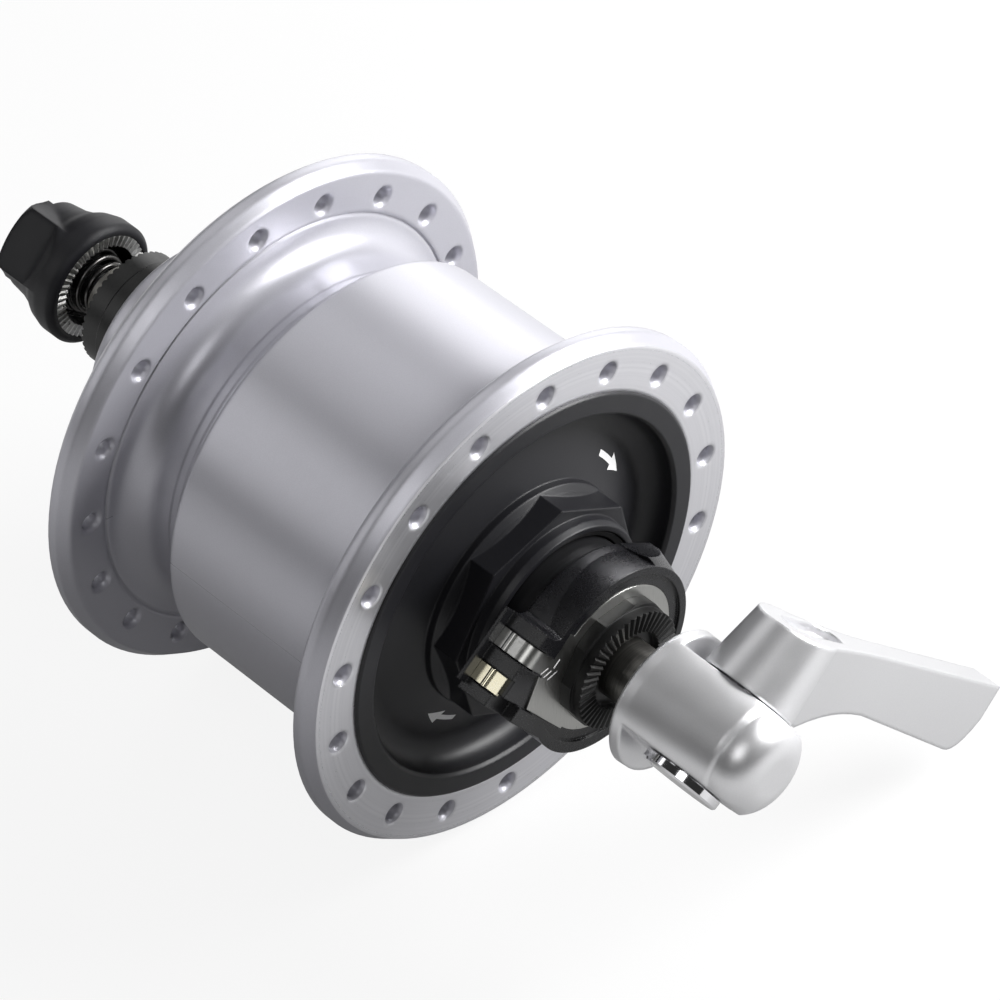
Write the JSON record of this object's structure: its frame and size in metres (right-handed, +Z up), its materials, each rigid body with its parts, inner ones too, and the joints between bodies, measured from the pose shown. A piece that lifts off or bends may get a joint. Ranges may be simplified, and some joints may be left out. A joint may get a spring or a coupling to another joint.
{
  "type": "hub dynamo",
  "caption": "Front bicycle hub that makes current for lamps: flanged silver shell turning on a fixed axle, black cover, plug block at one end and a quick-release skewer through it.",
  "frame": {"origin": "on the axle, midway between the two lock nut faces", "axes": "+Y along the axle from the plug and lever end to the skewer nut end, +Z up"},
  "size_m": [0.095, 0.1464, 0.08],
  "materials": {
    "axle_steel": "turned",
    "bearing_steel": "ground",
    "ball_steel": "polished",
    "retainer_brass": "pressed",
    "seal_rubber": "matt",
    "dust_cap": "satin black",
    "stator_iron": "pressed",
    "bobbin_plastic": "moulded",
    "coil_copper": "enamelled wire",
    "magnet": "sintered",
    "shell_silver": "satin silver paint",
    "cover_black": "satin black paint",
    "plug_plastic": "moulded",
    "plate_steel": "pressed",
    "terminal_steel": "pressed",
    "nut_black": "black oxide",
    "skewer_steel": "drawn",
    "lever_silver": "satin silver",
    "cam_chrome": "polished",
    "cap_black": "matt black paint",
    "insert_steel": "plated",
    "spring_steel": "oiled"
  },
  "bodies": {
    "axle_body": {"axle": "axle_steel", "front_cone": "bearing_steel", "rear_cone": "bearing_steel", "stator_core": "stator_iron", "front_claws": "stator_iron", "rear_claws": "stator_iron", "bobbin": "bobbin_plastic", "coil": "coil_copper", "stator_sleeve": "stator_iron", "stator_nut": "stator_iron", "front_dust_cap": "dust_cap", "rear_dust_cap": "dust_cap", "plug_housing": "plug_plastic", "terminal_plate": "plate_steel", "live_terminal": "terminal_steel", "front_locknut": "nut_black", "rear_locknut": "nut_black"},
    "shell_body": {"hub_shell": "shell_silver", "front_cover": "cover_black", "magnet_ring": "stator_iron", "magnet_1": "magnet", "magnet_2": "magnet", "magnet_3": "magnet", "magnet_4": "magnet", "front_cup": "bearing_steel", "rear_cup": "bearing_steel", "front_seal": "seal_rubber", "rear_seal": "seal_rubber"},
    "front_ball_body": {"front_balls": "ball_steel", "front_retainer": "retainer_brass"},
    "rear_ball_body": {"rear_balls": "ball_steel", "rear_retainer": "retainer_brass"},
    "rod_body": {"skewer_rod": "skewer_steel"},
    "housing_body": {"cam_housing": "lever_silver", "front_spring": "spring_steel"},
    "lever_body": {"lever": "lever_silver", "cam_shaft": "cam_chrome"},
    "nut_body": {"skewer_cap": "cap_black", "skewer_insert": "insert_steel", "rear_spring": "spring_steel"}
  },
  "joints": [
    {"name": "shell_spin", "type": "hinge", "parent": "axle_body", "child": "shell_body", "pos_m": [0, 0, 0], "axis": [0, 1, 0], "continuous": true},
    {"name": "front_ball_spin", "type": "hinge", "parent": "axle_body", "child": "front_ball_body", "pos_m": [0, 0, 0], "axis": [0, 1, 0], "continuous": true},
    {"name": "rear_ball_spin", "type": "hinge", "parent": "axle_body", "child": "rear_ball_body", "pos_m": [0, 0, 0], "axis": [0, 1, 0], "continuous": true},
    {"name": "skewer_turn", "type": "hinge", "parent": "axle_body", "child": "rod_body", "pos_m": [0, 0, 0], "axis": [0, -1, 0], "range_deg": [-720, 1440]},
    {"name": "nut_travel", "type": "slide", "parent": "axle_body", "child": "nut_body", "axis": [0, 1, 0], "range_m": [-0.0016, 0.0032], "deforming": ["rear_spring"]},
    {"name": "housing_slide", "type": "slide", "parent": "rod_body", "child": "housing_body", "axis": [0, -1, 0], "range_m": [0, 0.002], "deforming": ["front_spring"]},
    {"name": "lever_pivot", "type": "hinge", "parent": "housing_body", "child": "lever_body", "pos_m": [0, -0.0662, 0], "axis": [-0.859, 0, -0.512], "range_deg": [0, 180]}
  ],
  "couplings": [
    {"joint": "front_ball_spin", "follows": "shell_spin", "ratio": 0.5876},
    {"joint": "rear_ball_spin", "follows": "shell_spin", "ratio": 0.5876},
    {"joint": "nut_travel", "follows": "skewer_turn", "m_per_rad": 0.00012732},
    {"joint": "housing_slide", "follows": "lever_pivot", "m_per_rad": 0.0006366}
  ]
}
